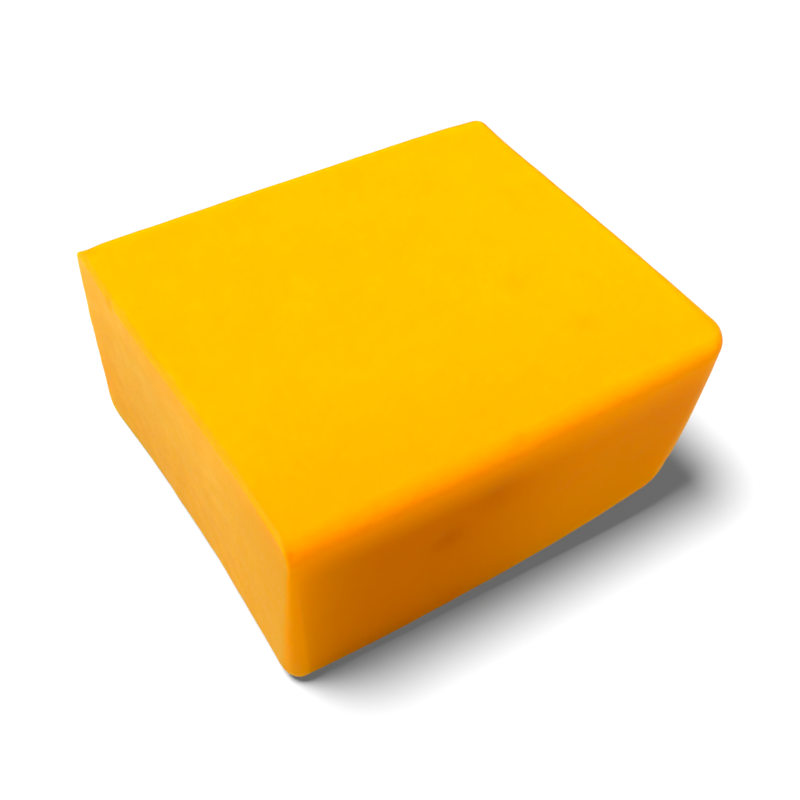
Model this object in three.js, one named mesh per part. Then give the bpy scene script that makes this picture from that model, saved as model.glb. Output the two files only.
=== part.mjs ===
import * as THREE from 'three';
import { mergeVertices } from 'three/addons/utils/BufferGeometryUtils.js';

// A chunk of cheddar cut from a larger block. Millimetres, +Z up.
// It lies on its flat base: X runs along the long side, which is the front (-Y), and the fresh-cut
// face looks towards -X. The origin is the middle of the footprint, on the surface under the chunk.

// Size between the faces, before the corners lean
const width = 99.5;
const depth = 87.7;
const height = 49.5;

// Each corner's lean away from a square block.
// Its place is x 0 at the cut face and 1 at the far end, y 0 at the front, z 0 at the base.
const cornerLeans = [
  { place: [0, 1, 1], lean: [-1.3, -0.4, -0.7] },
  { place: [1, 1, 1], lean: [0.2, -0.2, 0.4] },
  { place: [1, 0, 1], lean: [1.6, 1.2, 1.0] },
  { place: [0, 0, 1], lean: [-0.1, 0.4, -0.1] },
  { place: [0, 1, 0], lean: [0.2, 0, 0] },
  { place: [0, 0, 0], lean: [1.0, 2.5, 0] },
  { place: [1, 0, 0], lean: [2.5, 0, 0] },
  { place: [1, 1, 0], lean: [-2, -2, 0] },
];

// Radius of the four edges along X, from the cut face to the far end.
// A high power keeps the first radius for most of the way.
const longEdges = {
  topFront: { atCut: 4.5, atFar: 3, power: 4 },
  topBack: { atCut: 1.9, atFar: 3.6, power: 8 },
  bottomFront: { atCut: 3.9, atFar: 14.9, power: 2.3 },
  bottomBack: { atCut: 8.2, atFar: 9, power: 1 },
};

// Radius of the edges round the two end faces.
// Front and back edges go from the base to the top, the others from the front to the back.
const cutFaceEdges = {
  front: [3.9, 0.8],
  back: [1.5, 0.8],
  bottom: [4.3, 1.3],
  top: [0.8, 0.8],
};
const farEndEdges = {
  front: [15.5, 7.8],
  back: [9, 3.7],
  bottom: [15, 9],
  top: [2.6, 4.9],
};
const cornerShrink = 0.6; // share of a long edge's radius that is lost across an end's rounding
const cornerHold = 8; // power that keeps an upright edge's radius close to its corners

// Soft unevenness of the faces
const lowerCutHollow = 1.55; // the cut face draws in above its lower edge
const upperCutSwing = 0.4; // its upper edge swings out and in
const frontSwell = 0.8; // the front swells along its upper edge
const topSwell = 0.35; // the top rises a little in the middle
const swellReach = 0.3; // share of the block behind a face that moves with it

// Fineness: flat steps along an edge, and rings across its rounding
const flatSteps = { x: 16, y: 14, z: 8 };
const cutRings = 3;
const farRings = 6;
const edgeRings = 5;

const mix = (a, b, share) => a + (b - a) * share;
const halfSize = { x: width / 2, y: depth / 2, z: height / 2 };

// 1 at a face, fading to 0 at swellReach behind it
function nearFace(share) {
  return THREE.MathUtils.smoothstep(1 - share / swellReach, 0, 1);
}

// 0 at both ends of an edge and 1 in its middle
function midEdge(share) {
  return 4 * share * (1 - share);
}

// Marks along one axis: -1 to 1 is the flat part, and the roundings reach out to -2 and 2
function axisMarks(flat, lowRings, highRings, ringMark) {
  const marks = [];
  for (let ring = lowRings; ring > 0; ring -= 1) {
    marks.push(-1 - ringMark(ring / lowRings));
  }
  for (let step = 0; step <= flat; step += 1) {
    marks.push(mix(-1, 1, step / flat));
  }
  for (let ring = 1; ring <= highRings; ring += 1) {
    marks.push(1 + ringMark(ring / highRings));
  }
  return marks;
}

// Radius of the long edges, blended to any place of the section
function sectionRadius(x, y, z) {
  const at = ({ atCut, atFar, power }) => mix(atCut, atFar, x ** power);
  const low = mix(at(longEdges.bottomFront), at(longEdges.bottomBack), y);
  const high = mix(at(longEdges.topFront), at(longEdges.topBack), y);
  return mix(low, high, z);
}

// Radius of the edges round an end face, at a place of the section
function endRadii(edges, y, z) {
  return {
    front: mix(...edges.front, z),
    back: mix(...edges.back, z),
    bottom: mix(...edges.bottom, y),
    top: mix(...edges.top, y),
  };
}

// How far an end's rounding reaches back along X, in the direction of a point of the section.
// Above and below a corner it reaches as far as at that corner's upright edge.
function reachBack(radii, y, towardsY, towardsZ) {
  const nearFront = (1 - y) ** cornerHold;
  const nearBack = y ** cornerHold;
  const level = towardsZ < 0 ? radii.bottom : radii.top;
  const aboveOrBelow = level * (1 - nearFront - nearBack) + radii.front * nearFront + radii.back * nearBack;
  const sideways = towardsY < 0 ? radii.front : radii.back;
  return towardsY ** 2 * sideways + towardsZ ** 2 * aboveOrBelow;
}

// The rounded block, before it leans or swells, centred on the origin
function roundedPoint(mark) {
  const share = mark.map((value) => (THREE.MathUtils.clamp(value, -1, 1) + 1) / 2);
  const [beyondX, beyondY, beyondZ] = mark.map((value) => Math.max(Math.abs(value) - 1, 0));
  const slant = Math.hypot(beyondY, beyondZ) || 1;
  const towardsY = (Math.sign(mark[1]) * beyondY) / slant;
  const towardsZ = (Math.sign(mark[2]) * beyondZ) / slant;
  const outward = Math.max(beyondY, beyondZ);
  const cutRadii = endRadii(cutFaceEdges, share[1], share[2]);
  const farRadii = endRadii(farEndEdges, share[1], share[2]);
  const inset = mark[0] < 0 ? cutRadii : farRadii;
  const turn = (beyondX * Math.PI) / 2;
  const drawn = 1 - Math.cos(turn);
  const radius = sectionRadius(...share) * (1 - cornerShrink * drawn);
  const point = new THREE.Vector3();
  point.y = mix(
    -halfSize.y + inset.front * drawn + radius,
    halfSize.y - inset.back * drawn - radius,
    share[1],
  );
  point.z = mix(
    -halfSize.z + inset.bottom * drawn + radius,
    halfSize.z - inset.top * drawn - radius,
    share[2],
  );
  point.y += radius * outward * towardsY;
  point.z += radius * outward * towardsZ;
  if (beyondX > 0) {
    const reach = reachBack(inset, share[1], towardsY, towardsZ);
    point.x = Math.sign(mark[0]) * (halfSize.x - reach * (1 - Math.sin(turn)));
  } else {
    const cutReach = reachBack(cutRadii, share[1], towardsY, towardsZ);
    const farReach = reachBack(farRadii, share[1], towardsY, towardsZ);
    point.x = mix(-halfSize.x + cutReach, halfSize.x - farReach, share[0]);
  }
  return point;
}

// Leans the corners, then adds the soft unevenness. The base stays flat.
function settle(point) {
  const x = point.x / width + 0.5;
  const y = point.y / depth + 0.5;
  const z = point.z / height + 0.5;
  for (const { place, lean } of cornerLeans) {
    const pull = (place[0] ? x : 1 - x) * (place[1] ? y : 1 - y) * (place[2] ? z : 1 - z);
    point.addScaledVector(new THREE.Vector3(...lean), pull);
  }
  point.x += nearFace(x) * (1 - z) * lowerCutHollow * midEdge(y);
  point.x += nearFace(x) * z * upperCutSwing * Math.sin(2 * Math.PI * y);
  point.y -= nearFace(y) * z * frontSwell * midEdge(x);
  point.z += nearFace(1 - z) * topSwell * midEdge(x) * midEdge(y);
  return point;
}

function cheeseGeometry() {
  const evenArc = (share) => Math.tan((share * Math.PI) / 4);
  const marks = [
    axisMarks(flatSteps.x, cutRings, farRings, (share) => share),
    axisMarks(flatSteps.y, edgeRings, edgeRings, evenArc),
    axisMarks(flatSteps.z, edgeRings, edgeRings, evenArc),
  ];
  const cells = marks.map((list) => list.length - 1);
  const lattice = new THREE.BoxGeometry(...cells, ...cells);
  lattice.deleteAttribute('normal');
  lattice.deleteAttribute('uv');
  const geometry = mergeVertices(lattice);
  const positions = geometry.getAttribute('position');
  for (let index = 0; index < positions.count; index += 1) {
    const mark = marks.map((list, axis) => {
      const cell = positions.getComponent(index, axis) + cells[axis] / 2;
      return list[Math.round(cell)];
    });
    positions.setXYZ(index, ...settle(roundedPoint(mark)));
  }
  geometry.clearGroups();
  geometry.computeBoundingBox();
  const middle = geometry.boundingBox.getCenter(new THREE.Vector3());
  geometry.translate(-middle.x, -middle.y, -geometry.boundingBox.min.z);
  geometry.computeVertexNormals();
  return geometry;
}

const cheeseMaterial = new THREE.MeshStandardMaterial({
  color: 0xfebf0a,
  roughness: 0.5,
  metalness: 0,
});

const cheese = new THREE.Mesh(cheeseGeometry(), cheeseMaterial);
cheese.name = 'cheddar_block';

const chunk = new THREE.Group();
chunk.add(cheese);

export default chunk;
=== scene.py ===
import math

import bpy
import numpy as np
from mathutils import Matrix, Vector, noise


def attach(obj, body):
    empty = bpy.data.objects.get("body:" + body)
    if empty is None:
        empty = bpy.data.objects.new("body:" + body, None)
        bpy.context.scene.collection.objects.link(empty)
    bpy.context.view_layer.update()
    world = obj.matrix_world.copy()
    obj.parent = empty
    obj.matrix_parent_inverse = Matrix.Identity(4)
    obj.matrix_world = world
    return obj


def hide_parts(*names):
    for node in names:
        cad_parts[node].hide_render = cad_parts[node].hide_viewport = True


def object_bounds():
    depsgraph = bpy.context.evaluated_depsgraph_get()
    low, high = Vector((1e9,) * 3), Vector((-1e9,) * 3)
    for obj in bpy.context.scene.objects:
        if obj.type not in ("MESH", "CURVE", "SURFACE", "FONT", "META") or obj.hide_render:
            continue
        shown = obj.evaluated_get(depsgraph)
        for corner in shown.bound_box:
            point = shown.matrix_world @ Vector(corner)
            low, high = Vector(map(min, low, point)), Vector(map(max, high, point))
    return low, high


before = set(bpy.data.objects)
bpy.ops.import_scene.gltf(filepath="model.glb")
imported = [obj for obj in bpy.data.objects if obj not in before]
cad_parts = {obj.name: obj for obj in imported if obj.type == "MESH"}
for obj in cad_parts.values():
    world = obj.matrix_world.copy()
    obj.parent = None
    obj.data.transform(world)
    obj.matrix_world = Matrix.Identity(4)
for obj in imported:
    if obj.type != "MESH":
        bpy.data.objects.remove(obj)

# A chunk of cheddar on a white table.
# The chunk is worked out in millimetres and becomes metres when its mesh is made.

cadLow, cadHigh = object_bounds()
mm = 0.001
print("frame loaded, box in mm:", [round(v / mm, 1) for v in cadHigh - cadLow])


# small helpers

def mix(a, b, share):
    return a + (b - a) * share


def smooth(share):
    share = np.clip(share, 0, 1)
    return share * share * (3 - 2 * share)


# 0 where value is at start or below it, and 1 at full or above it
def rise(value, start, full):
    return smooth((value - start) / (full - start))


# 1 where away is 0, and falling to nothing beyond about twice wide
def bell(away, wide):
    return np.exp(-(away / wide) ** 2)


# soft waves over the points, about size across and high up and down, both in mm
# seed moves them along, and each further octave adds waves half as wide and half as high
def wavesAt(points, size, high, seed, octaves):
    start = Vector((seed, seed * 1.7, seed * 2.3))
    waves = [noise.fractal(Vector(p) / size + start, 1.0, 2.0, octaves) for p in points]
    return np.array(waves) * high


# a colour as a paint program shows it, made linear for Blender
def paint(red, green, blue):
    shares = [v / 255 for v in (red, green, blue)]
    return [s / 12.92 if s <= 0.04045 else ((s + 0.055) / 1.055) ** 2.4 for s in shares] + [1]


# the chunk's form, the same rounded block as in the frame, only finer

block = {
    "size": (99.5, 87.7, 49.5),  # before the corners lean
    # place: x 0 at the cut face, y 0 at the front, z 0 at the base; then how far the corner leans
    "cornerLeans": [
        ((0, 1, 1), (-1.3, -0.4, -0.7)),
        ((1, 1, 1), (0.2, -0.2, 0.4)),
        ((1, 0, 1), (1.6, 1.2, 1.0)),
        ((0, 0, 1), (-0.1, 0.4, -0.1)),
        ((0, 1, 0), (0.2, 0, 0)),
        ((0, 0, 0), (1.0, 2.5, 0)),
        ((1, 0, 0), (2.5, 0, 0)),
        ((1, 1, 0), (-2, -2, 0)),
    ],
    # radius of the four long edges: at the cut, at the far end, and how late it changes
    "topFront": (4.5, 3, 4),
    "topBack": (1.9, 3.6, 8),
    "bottomFront": (3.9, 14.9, 2.3),
    "bottomBack": (8.2, 9, 1),
    # radius round the two end faces: front and back from the base up, the others from the front
    "cutEdges": {"front": (3.9, 0.8), "back": (1.5, 0.8), "bottom": (4.3, 1.3), "top": (0.8, 0.8)},
    "farEdges": {"front": (15.5, 7.8), "back": (9, 3.7), "bottom": (15, 9), "top": (2.6, 4.9)},
    "cornerShrink": 0.6,
    "cornerHold": 8,
    "lowerCutHollow": 1.55,
    "upperCutSwing": 0.4,
    "frontSwell": 0.8,
    "topSwell": 0.35,
    "swellReach": 0.3,
    # fineness of the mesh
    "flatSteps": (118, 104, 58),
    "cutRings": 8,
    "farRings": 12,
    "edgeRings": 10,
}


def axisMarks(flat, lowRings, highRings, evenArc):
    ring = (lambda s: math.tan(s * math.pi / 4)) if evenArc else (lambda s: s)
    low = [-1 - ring(step / lowRings) for step in range(lowRings, 0, -1)]
    middle = [mix(-1, 1, step / flat) for step in range(flat + 1)]
    high = [1 + ring(step / highRings) for step in range(1, highRings + 1)]
    return np.array(low + middle + high)


# the six sides of a box as one closed skin: a mark for each point, and four corners for each face
def boxSkin(marksX, marksY, marksZ):
    shape = (len(marksX), len(marksY), len(marksZ))
    outside = np.zeros(shape, bool)
    outside[[0, -1], :, :] = True
    outside[:, [0, -1], :] = True
    outside[:, :, [0, -1]] = True
    number = np.full(shape, -1)
    number[outside] = np.arange(outside.sum())
    steps = np.argwhere(outside)
    marks = np.stack([marksX[steps[:, 0]], marksY[steps[:, 1]], marksZ[steps[:, 2]]], axis=1)
    faces = []
    for axis in range(3):
        for end in (0, -1):
            sheet = np.take(number, end, axis=axis)
            corners = [sheet[:-1, :-1], sheet[1:, :-1], sheet[1:, 1:], sheet[:-1, 1:]]
            outwards = (end == -1) != (axis == 1)
            if not outwards:
                corners.reverse()
            faces.append(np.stack([c.ravel() for c in corners], axis=1))
    return marks, np.concatenate(faces)


def edgeRadius(name, x):
    atCut, atFar, power = block[name]
    return mix(atCut, atFar, x ** power)


def endInsets(edges, y, z):
    return {
        "front": mix(*edges["front"], z),
        "back": mix(*edges["back"], z),
        "bottom": mix(*edges["bottom"], y),
        "top": mix(*edges["top"], y),
    }


# how far an end's rounding reaches back along X, in the direction of a point of the section
def reachBack(inset, y, towardsY, towardsZ):
    nearFront = (1 - y) ** block["cornerHold"]
    nearBack = y ** block["cornerHold"]
    level = np.where(towardsZ < 0, inset["bottom"], inset["top"])
    level = level * (1 - nearFront - nearBack) + inset["front"] * nearFront + inset["back"] * nearBack
    sideways = np.where(towardsY < 0, inset["front"], inset["back"])
    return towardsY ** 2 * sideways + towardsZ ** 2 * level


def roundedBlock(marks):
    halfX, halfY, halfZ = (side / 2 for side in block["size"])
    x, y, z = ((np.clip(marks, -1, 1) + 1) / 2).T
    beyondX, beyondY, beyondZ = np.maximum(np.abs(marks) - 1, 0).T
    slant = np.hypot(beyondY, beyondZ)
    slant[slant == 0] = 1
    towardsY = np.sign(marks[:, 1]) * beyondY / slant
    towardsZ = np.sign(marks[:, 2]) * beyondZ / slant
    outward = np.maximum(beyondY, beyondZ)
    cut = endInsets(block["cutEdges"], y, z)
    far = endInsets(block["farEdges"], y, z)
    atCut = marks[:, 0] < 0
    inset = {name: np.where(atCut, cut[name], far[name]) for name in cut}
    turn = beyondX * math.pi / 2
    drawn = 1 - np.cos(turn)
    low = mix(edgeRadius("bottomFront", x), edgeRadius("bottomBack", x), y)
    high = mix(edgeRadius("topFront", x), edgeRadius("topBack", x), y)
    radius = mix(low, high, z) * (1 - block["cornerShrink"] * drawn)
    alongY = mix(-halfY + inset["front"] * drawn + radius, halfY - inset["back"] * drawn - radius, y)
    alongZ = mix(-halfZ + inset["bottom"] * drawn + radius, halfZ - inset["top"] * drawn - radius, z)
    alongY += radius * outward * towardsY
    alongZ += radius * outward * towardsZ
    reach = reachBack(inset, y, towardsY, towardsZ)
    onRounding = np.sign(marks[:, 0]) * (halfX - reach * (1 - np.sin(turn)))
    cutReach = reachBack(cut, y, towardsY, towardsZ)
    farReach = reachBack(far, y, towardsY, towardsZ)
    between = mix(-halfX + cutReach, halfX - farReach, x)
    return np.stack([np.where(beyondX > 0, onRounding, between), alongY, alongZ], axis=1)


def nearFace(share):
    return smooth(1 - share / block["swellReach"])


def midEdge(share):
    return 4 * share * (1 - share)


# leans the corners and adds the soft swells, then stands the block on the table
def settled(points):
    x, y, z = (points / np.array(block["size"]) + 0.5).T
    made = points.copy()
    for place, lean in block["cornerLeans"]:
        pull = (x if place[0] else 1 - x) * (y if place[1] else 1 - y) * (z if place[2] else 1 - z)
        made += pull[:, None] * np.array(lean)
    made[:, 0] += nearFace(x) * (1 - z) * block["lowerCutHollow"] * midEdge(y)
    made[:, 0] += nearFace(x) * z * block["upperCutSwing"] * np.sin(2 * math.pi * y)
    made[:, 1] -= nearFace(y) * z * block["frontSwell"] * midEdge(x)
    made[:, 2] += nearFace(1 - z) * block["topSwell"] * midEdge(x) * midEdge(y)
    middle = (made.min(0) + made.max(0)) / 2
    return made - [middle[0], middle[1], made[:, 2].min()]


def outwardNormals(points, faces):
    a, b, c, d = (points[faces[:, corner]] for corner in range(4))
    across = np.cross(c - a, d - b)
    normals = np.zeros_like(points)
    for corner in range(4):
        np.add.at(normals, faces[:, corner], across)
    return normals / np.linalg.norm(normals, axis=1, keepdims=True)


# the surface: soft unevenness from the wire and the wrapper, and marks where the chunk was handled

relief = {
    # waves: about this wide, this high, their seed, and how many octaves
    "broad": (22, 0.16, 3.1, 1),
    "middle": (5, 0.05, 11.7, 2),
    "cutTear": (11, 0.1, 23.9, 2),  # only on the cut face
    "cutPull": (3.5, 0.012, 37.3, 2),
    "baseFade": 2.0,  # the relief fades out over this much above the table
    "spare": 0.01,  # left free inside the frame's box
    # place, width across, depth, and how much painted shade it gets
    "dents": [
        ((-16.6, -43.3, 30.2), 7.0, 0.2, 0.4),
        ((-6.4, -43.6, 37.5), 9.0, 0.2, 0.22),
        ((20.7, -9.1, 49.9), 5.0, 0.08, 0.06),
        ((26.1, -25, 50.1), 5.0, 0.08, 0.06),
        ((-49.1, -42.6, 47.5), 1.6, 0.25, 0.15),
        ((-51.2, 25.9, 47.9), 2.6, 0.5, 0),
        ((-2.6, -42.4, 48.8), 3.0, 0.2, 0.08),
        ((-48.7, 41.7, 48.8), 4.0, 0.5, 0.15),
    ],
}


def addRelief(points, normals, cutShare):
    lift = wavesAt(points, *relief["broad"]) + wavesAt(points, *relief["middle"])
    lift += cutShare * (wavesAt(points, *relief["cutTear"]) + wavesAt(points, *relief["cutPull"]))
    # painted shade in the dents
    dark = np.zeros(len(points))
    for place, across, deep, darker in relief["dents"]:
        hollow = bell(np.linalg.norm(points - np.array(place), axis=1), across / 2)
        lift -= hollow * deep
        dark += hollow * darker
    lift *= smooth(points[:, 2] / relief["baseFade"])
    return points + normals * lift[:, None], np.clip(dark, 0, 1)


# squeezes the finished skin into the frame's own box
def fitToFrame(points):
    low = np.array(cadLow) / mm
    high = np.array(cadHigh) / mm
    spare = relief["spare"]
    share = (points - points.min(0)) / (points.max(0) - points.min(0))
    made = mix(low + spare, high - spare, share)
    made[:, 2] = mix(low[2], high[2] - spare, share[:, 2])
    return made


def addShare(mesh, name, values):
    layer = mesh.attributes.new(name, "FLOAT", "POINT")
    layer.data.foreach_set("value", np.asarray(values, np.float32))


# where the chunk's colours and their painted light, shade and sheen change, mm

areas = {
    "topSkin": 0.8,  # below the top, where the painted shade of the sides starts
    "sideReach": 12.5,  # and how much further down it is complete
    "frontReach": 34,  # behind the front, where the painted shade on the top begins
    "leftAtFarEnd": 0.5,  # share of that painted shade at the far end
    "cutGlow": 5.5,  # from the cut, how fast the painted glow on the front fades
    "cutRounding": 1.3,  # length round the cut's upper edge
    "cutBlend": (-2, 1),  # where the cut's colour starts and is complete, from the start of that edge
    "cutWander": (5, 0.9, 51.3, 2),  # waves of that line: length, height, seed and octaves
    "cutHold": 0.9,  # share of the blend and the waves that the upright front edge lacks
    "edgeBand": (0.433, 0.75),  # middle and half width of the painted shade along the upper cut edge
    "besideBand": (0.65, 0.95),  # the same for the painted glow on the upright front edge
    "rimBelow": (4, 22),  # below the top, where the painted sheen on the far front rounding starts
    # how far the skin is turned to a way, from where it starts to count to where it counts in full
    "turnedFront": (0, 0.5),
    "turnedUp": (0, 0.3),
    "turnedBack": (0, 0.5),
    "farAsBack": 0.6,  # the far end counts this much in that
    "rimTurnedFar": (0.1, 0.7),
    "rimTurnedFront": (0, 0.4),
}


# a share from 0 to 1 at each point for each of the chunk's colours, painted light, shade and sheen
# among them
def colourShares(points, marks, normals):
    width = block["size"][0]
    fromCut, fromFront, _ = (points - points.min(0)).T
    fromTop = points[:, 2].max() - points[:, 2]
    toFar, toBack, upwards = normals.T
    toFront = rise(-toBack, *areas["turnedFront"])
    held = areas["cutHold"] * toFront
    # from the start of the cut's rounding, on towards the cut
    ontoCut = -(marks[:, 0] + 1) * np.where(marks[:, 0] < -1, areas["cutRounding"], width / 2)
    waving = ontoCut + wavesAt(points, *areas["cutWander"]) * (1 - held)
    start, end = areas["cutBlend"]
    edgeAt, edgeWide = areas["edgeBand"]
    besideAt, besideWide = areas["besideBand"]
    frontShadeAlongX = mix(1, areas["leftAtFarEnd"], smooth(fromCut / width))
    rim = rise(toFar, *areas["rimTurnedFar"]) * rise(-toBack, *areas["rimTurnedFront"])
    return {
        "cutShare": rise(waving, start * (1 - held), end),
        "sideSkinAndShadeShare": smooth((fromTop - areas["topSkin"]) / areas["sideReach"]),
        "frontShadeShare": smooth(1 - fromFront / areas["frontReach"]) * frontShadeAlongX,
        "glowNearCut": np.exp(-fromCut / areas["cutGlow"]),
        "shadeAlongCutEdge": bell(ontoCut - edgeAt, edgeWide) * rise(upwards, *areas["turnedUp"]),
        "besideCut": bell(ontoCut - besideAt, besideWide) * toFront,
        "turnedAwayShadeShare": rise(np.maximum(toFar * areas["farAsBack"], toBack), *areas["turnedBack"]),
        "rimSheenShare": rise(fromTop, *areas["rimBelow"]) * rim,
    }


def buildCheddar():
    steps = block["flatSteps"]
    rings = block["edgeRings"]
    marks, faces = boxSkin(
        axisMarks(steps[0], block["cutRings"], block["farRings"], False),
        axisMarks(steps[1], rings, rings, True),
        axisMarks(steps[2], rings, rings, True),
    )
    points = settled(roundedBlock(marks))
    normals = outwardNormals(points, faces)
    shares = colourShares(points, marks, normals)
    points, shares["dentShadeShare"] = addRelief(points, normals, shares["cutShare"])
    points = fitToFrame(points)
    mesh = bpy.data.meshes.new("cheddar")
    mesh.from_pydata((points * mm).tolist(), [], faces.tolist())
    mesh.shade_smooth()
    for name, values in shares.items():
        addShare(mesh, name, values)
    piece = bpy.data.objects.new("cheddar", mesh)
    bpy.context.scene.collection.objects.link(piece)
    print("cheddar:", len(mesh.vertices), "points,", len(mesh.polygons), "faces")
    return piece


# the cheddar's finish, with painted light, shade and sheen in its colours

finish = {
    "topColour": paint(250, 158, 4),
    "topDeeper": paint(249, 155, 4),
    # painted shade on the top towards the front
    "frontShadeColour": paint(248, 149, 3),
    "sideSkinAndShadeColour": paint(213, 105, 2),  # towards the cut; painted shade on a slightly deeper orange outer skin
    # painted light: the sides turn lighter towards the far end
    "sideFarLightColour": paint(236, 130, 3),
    "sideFar": (-18, 20),  # where the one turns into the other, mm
    # painted glow on the front beside the cut
    "sideGlowNearCut": paint(255, 168, 9),
    "turnedAwayShadeColour": paint(237, 126, 5),  # painted shade on the turned-over upper edges at the back and the far end
    # painted sheen on the far front rounding
    "rimSheenColour": paint(234, 163, 34),
    # the cut: its own paler colour with a painted sheen, stronger in patches and weaker low down
    "cutColour": paint(231, 157, 20),
    "cutMilkySheen": paint(235, 164, 36),
    "cutLowColour": paint(227, 142, 2),
    "cutLowMilkySheen": paint(232, 148, 5),
    # painted shade on the cut towards the front
    "cutFrontShadeColour": paint(217, 141, 3),
    # painted shade along the upper cut edge
    "cutEdgeShadeColour": paint(240, 140, 28),
    # painted glow on the upright front edge beside the cut
    "besideCutGlowColour": paint(252, 147, 9),
    "cutHeights": (4, 44),  # where the low colours, with less painted sheen, turn into the others, mm
    # painted shade in the dents
    "dentShadeColour": paint(190, 84, 4),
    # noise: size in mm, detail, and the values where it starts to show and shows in full
    "mottle": (11, 3, 0.3, 0.7),
    "grain": (0.8, 2, 0.3, 0.7),
    "milk": (5.5, 2, 0.3, 0.75),
    "mottleStrength": 0.7,
    "bumpSize": 0.45,  # mm
    "bumpDetail": 3,
    "bumpDepth": 0.02,
    "roughness": (0.43, 0.53),  # between the grains and on them
    "shine": 0.02,
    "glowDepth": 12.0,  # how far light travels inside, mm
    "glowColour": (1.0, 0.42, 0.06),
}


def addNode(tree, kind, **values):
    node = tree.nodes.new(kind)
    for name, value in values.items():
        setattr(node, name, value)
    return node


def noiseNode(tree, place, size, detail):
    made = addNode(tree, "ShaderNodeTexNoise")
    made.inputs["Scale"].default_value = 1 / (size * mm)
    made.inputs["Detail"].default_value = detail
    tree.links.new(place, made.inputs["Vector"])
    return made.outputs["Fac"]


# stretches a value so that low becomes 0 and high becomes 1
def spreadNode(tree, share, low, high):
    made = addNode(tree, "ShaderNodeMapRange", interpolation_type="SMOOTHSTEP")
    made.inputs["From Min"].default_value = low
    made.inputs["From Max"].default_value = high
    tree.links.new(share, made.inputs["Value"])
    return made.outputs["Result"]


def scaleNode(tree, share, factor):
    made = addNode(tree, "ShaderNodeMath", operation="MULTIPLY")
    tree.links.new(share, made.inputs[0])
    made.inputs[1].default_value = factor
    return made.outputs["Value"]


# patches from one noise entry of the finish: 0 between them and 1 on them
def patches(tree, place, name):
    size, detail, low, high = finish[name]
    return spreadNode(tree, noiseNode(tree, place, size, detail), low, high)


def colourMix(tree, share, first, second):
    made = addNode(tree, "ShaderNodeMix", data_type="RGBA")
    tree.links.new(share, made.inputs["Factor"])
    for socket, colour in (("A", first), ("B", second)):
        target = next(s for s in made.inputs if s.name == socket and s.type == "RGBA")
        if isinstance(colour, bpy.types.NodeSocket):
            tree.links.new(colour, target)
        else:
            target.default_value = colour
    return next(s for s in made.outputs if s.type == "RGBA")


def shareFrom(tree, name):
    return addNode(tree, "ShaderNodeAttribute", attribute_name=name).outputs["Fac"]


# the top, with painted shade towards the front and on the turned-over back and far edges
def topColours(tree, place):
    patchy = scaleNode(tree, patches(tree, place, "mottle"), finish["mottleStrength"])
    top = colourMix(tree, patchy, finish["topColour"], finish["topDeeper"])
    top = colourMix(tree, shareFrom(tree, "frontShadeShare"), top, finish["frontShadeColour"])
    return colourMix(tree, shareFrom(tree, "turnedAwayShadeShare"), top, finish["turnedAwayShadeColour"])


# the sides: painted shade, turning lighter towards the far end as painted light, with painted glow
# beside the cut and painted sheen on the far front rounding
def sideColours(tree, alongX):
    along = spreadNode(tree, alongX, *(v * mm for v in finish["sideFar"]))
    side = colourMix(tree, along, finish["sideSkinAndShadeColour"], finish["sideFarLightColour"])
    side = colourMix(tree, shareFrom(tree, "glowNearCut"), side, finish["sideGlowNearCut"])
    return colourMix(tree, shareFrom(tree, "rimSheenShare"), side, finish["rimSheenColour"])


# the cut: its own paler colour with a painted sheen, weaker low down, and painted shade towards the
# front
def cutColours(tree, place, alongZ):
    milk = patches(tree, place, "milk")
    upper = colourMix(tree, milk, finish["cutColour"], finish["cutMilkySheen"])
    lower = colourMix(tree, milk, finish["cutLowColour"], finish["cutLowMilkySheen"])
    raised = spreadNode(tree, alongZ, *(v * mm for v in finish["cutHeights"]))
    cut = colourMix(tree, raised, lower, upper)
    return colourMix(tree, shareFrom(tree, "frontShadeShare"), cut, finish["cutFrontShadeColour"])


def addGrain(tree, place, shader):
    bump = addNode(tree, "ShaderNodeBump")
    bump.inputs["Distance"].default_value = finish["bumpDepth"] * mm
    fine = noiseNode(tree, place, finish["bumpSize"], finish["bumpDetail"])
    tree.links.new(fine, bump.inputs["Height"])
    tree.links.new(bump.outputs["Normal"], shader.inputs["Normal"])
    rough = addNode(tree, "ShaderNodeMapRange")
    rough.inputs["To Min"].default_value, rough.inputs["To Max"].default_value = finish["roughness"]
    tree.links.new(patches(tree, place, "grain"), rough.inputs["Value"])
    tree.links.new(rough.outputs["Result"], shader.inputs["Roughness"])


def cheddarFinish():
    made = bpy.data.materials.new("cheddar")
    made.use_nodes = True
    tree = made.node_tree
    shader = tree.nodes["Principled BSDF"]
    place = addNode(tree, "ShaderNodeTexCoord").outputs["Object"]
    spot = addNode(tree, "ShaderNodeSeparateXYZ")
    tree.links.new(place, spot.inputs["Vector"])
    side = sideColours(tree, spot.outputs["X"])
    cut = cutColours(tree, place, spot.outputs["Z"])
    # the sides below the top take their colour with its painted shade
    colour = colourMix(tree, shareFrom(tree, "sideSkinAndShadeShare"), topColours(tree, place), side)
    colour = colourMix(tree, shareFrom(tree, "cutShare"), colour, cut)
    colour = colourMix(tree, shareFrom(tree, "besideCut"), colour, finish["besideCutGlowColour"])
    colour = colourMix(tree, shareFrom(tree, "shadeAlongCutEdge"), colour, finish["cutEdgeShadeColour"])
    colour = colourMix(tree, shareFrom(tree, "dentShadeShare"), colour, finish["dentShadeColour"])
    tree.links.new(colour, shader.inputs["Base Color"])
    addGrain(tree, place, shader)
    shader.inputs["Specular IOR Level"].default_value = finish["shine"]
    shader.inputs["Subsurface Weight"].default_value = 1.0
    shader.inputs["Subsurface Scale"].default_value = finish["glowDepth"] * mm
    shader.inputs["Subsurface Radius"].default_value = finish["glowColour"]
    return made


# the table

table = {
    "reach": 3.0,  # metres each way
    "colour": (0.6, 0.6, 0.6, 1),
    "roughness": 0.7,
    "shine": 0.1,
}


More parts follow.
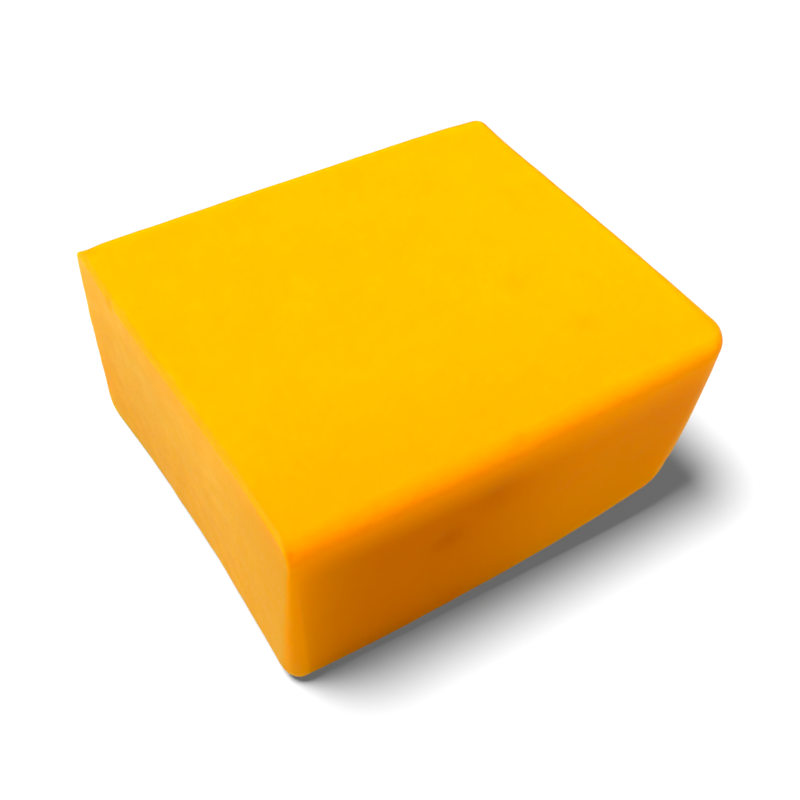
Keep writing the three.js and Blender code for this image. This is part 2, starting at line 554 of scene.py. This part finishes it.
def buildTable():
    reach = table["reach"]
    mesh = bpy.data.meshes.new("table")
    corners = [(-reach, -reach, 0), (reach, -reach, 0), (reach, reach, 0), (-reach, reach, 0)]
    mesh.from_pydata(corners, [], [(0, 1, 2, 3)])
    top = bpy.data.objects.new("table", mesh)
    bpy.context.scene.collection.objects.link(top)
    made = bpy.data.materials.new("tableTop")
    made.use_nodes = True
    shader = made.node_tree.nodes["Principled BSDF"]
    shader.inputs["Base Color"].default_value = table["colour"]
    shader.inputs["Roughness"].default_value = table["roughness"]
    shader.inputs["Specular IOR Level"].default_value = table["shine"]
    mesh.materials.append(made)
    return top


# light: a wide soft key from behind on the left, once for the cheese and once for the table,
# where it lays the shadow; a weak fill on the right, and a plain white room

light = {
    # width is in degrees across
    "key": {"towards": (-0.33, 0.21, 0.92), "width": 33, "strength": 5.2},
    "tableKey": {"towards": (-0.28, 0.14, 0.95), "width": 23, "strength": 5.45},
    "fillAt": (0.55, -0.38, 0.25),
    "fillSize": 0.4,
    "fillStrength": 1.2,
    "room": 0.14,
}


def hangLight(name, kind, towards):
    lamp = bpy.data.lights.new(name, kind)
    hung = bpy.data.objects.new(name, lamp)
    hung.rotation_euler = Vector(towards).to_track_quat("Z", "Y").to_euler()
    bpy.context.scene.collection.objects.link(hung)
    return hung


# a sun that lights only one thing
def hangKey(name, onlyFor):
    key = hangLight(name, "SUN", light[name]["towards"])
    key.data.energy = light[name]["strength"]
    key.data.angle = math.radians(light[name]["width"])
    lit = bpy.data.collections.new(name)
    lit.objects.link(onlyFor)
    key.light_linking.receiver_collection = lit


def buildLight(cheese, tableTop):
    hangKey("key", cheese)
    hangKey("tableKey", tableTop)
    fill = hangLight("fill", "AREA", light["fillAt"])
    fill.location = light["fillAt"]
    fill.data.shape = "SQUARE"
    fill.data.size = light["fillSize"]
    fill.data.energy = light["fillStrength"]
    room = bpy.data.worlds.new("room")
    room.use_nodes = True
    room.node_tree.nodes["Background"].inputs["Color"].default_value = (1, 1, 1, 1)
    room.node_tree.nodes["Background"].inputs["Strength"].default_value = light["room"]
    bpy.context.scene.world = room


# the camera stands where the photograph was taken from

view = {
    "place": (-98.725, -134.628, 202.952),  # mm
    "turn": 36.667,  # degrees from looking along +Y, towards +X
    "tilt": 47.983,  # degrees down
    "roll": 5.583,
    "lens": 51.337,  # mm
    "sensor": 36,  # mm across
}


def buildCamera():
    turn, tilt, roll = (math.radians(view[name]) for name in ("turn", "tilt", "roll"))
    ahead = Vector((math.sin(turn) * math.cos(tilt), math.cos(turn) * math.cos(tilt), -math.sin(tilt)))
    level = Vector((math.cos(turn), -math.sin(turn), 0))
    upright = level.cross(ahead)
    right = math.cos(roll) * level + math.sin(roll) * upright
    up = math.cos(roll) * upright - math.sin(roll) * level
    lens = bpy.data.cameras.new("camera")
    lens.lens = view["lens"]
    lens.sensor_width = view["sensor"]
    camera = bpy.data.objects.new("camera", lens)
    axes = Matrix((right, up, -ahead)).transposed().to_4x4()
    camera.matrix_world = Matrix.Translation(Vector(view["place"]) * mm) @ axes
    bpy.context.scene.collection.objects.link(camera)
    bpy.context.scene.camera = camera


# the picture's own tones: plain, with the last trace of blue taken out of the deep yellows

grade = {
    "noBlueBelow": 0.012,
    "plainFrom": 0.12,  # above this, blue stays as it is
}


def gradePicture():
    tones = bpy.context.scene.view_settings
    tones.view_transform = "Standard"
    tones.use_curve_mapping = True
    blue = tones.curve_mapping.curves[2]  # they are red, green, blue and all together
    blue.points.new(grade["noBlueBelow"], 0.0)
    blue.points.new(grade["plainFrom"], grade["plainFrom"])
    for point in blue.points:
        point.handle_type = "VECTOR"
    tones.curve_mapping.update()


cheddar = buildCheddar()
cheddar.data.materials.append(cheddarFinish())
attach(cheddar, "root")
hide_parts("cheddar_block")
cheddar.visible_diffuse = False  # keeps its shadow on the table a plain grey

tableTop = buildTable()
buildLight(cheddar, tableTop)
buildCamera()
gradePicture()
print("table, light and camera in place")
